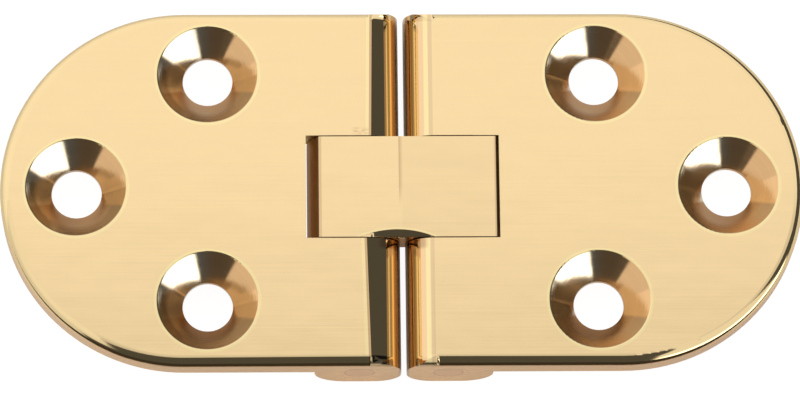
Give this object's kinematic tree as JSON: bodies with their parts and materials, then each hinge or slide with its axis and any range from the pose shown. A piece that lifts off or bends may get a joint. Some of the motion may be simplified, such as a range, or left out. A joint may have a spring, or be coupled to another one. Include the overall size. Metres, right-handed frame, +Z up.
{
  "type": "counter flap hinge",
  "caption": "Brass counter flap hinge: flat leaves with round ends and countersunk screw holes, joined by a short flush link on a pin at each end.",
  "frame": {"origin": "midway between the two leaves, on the plane of the knuckles' undersides", "axes": "+Z up out of the leaves' polished faces, +X along the hinge from the left leaf to the right one, Y across it along the pins"},
  "size_m": [0.08, 0.0366, 0.0067],
  "materials": {
    "leaf_brass": "polished",
    "link_brass": "polished",
    "pin_brass": "linished flush"
  },
  "bodies": {
    "leaf_left": {"leaf_left": "leaf_brass", "pin_left": "pin_brass"},
    "link": {"link": "link_brass"},
    "leaf_right": {"leaf_right": "leaf_brass", "pin_right": "pin_brass"}
  },
  "joints": [
    {"name": "left_pivot", "type": "hinge", "parent": "leaf_left", "child": "link", "pos_m": [-0.0044, 0, 0.0034], "axis": [0, -1, 0], "range_deg": [0, 90]},
    {"name": "right_pivot", "type": "hinge", "parent": "link", "child": "leaf_right", "pos_m": [0.0044, 0, 0.0034], "axis": [0, -1, 0], "range_deg": [0, 90]}
  ]
}
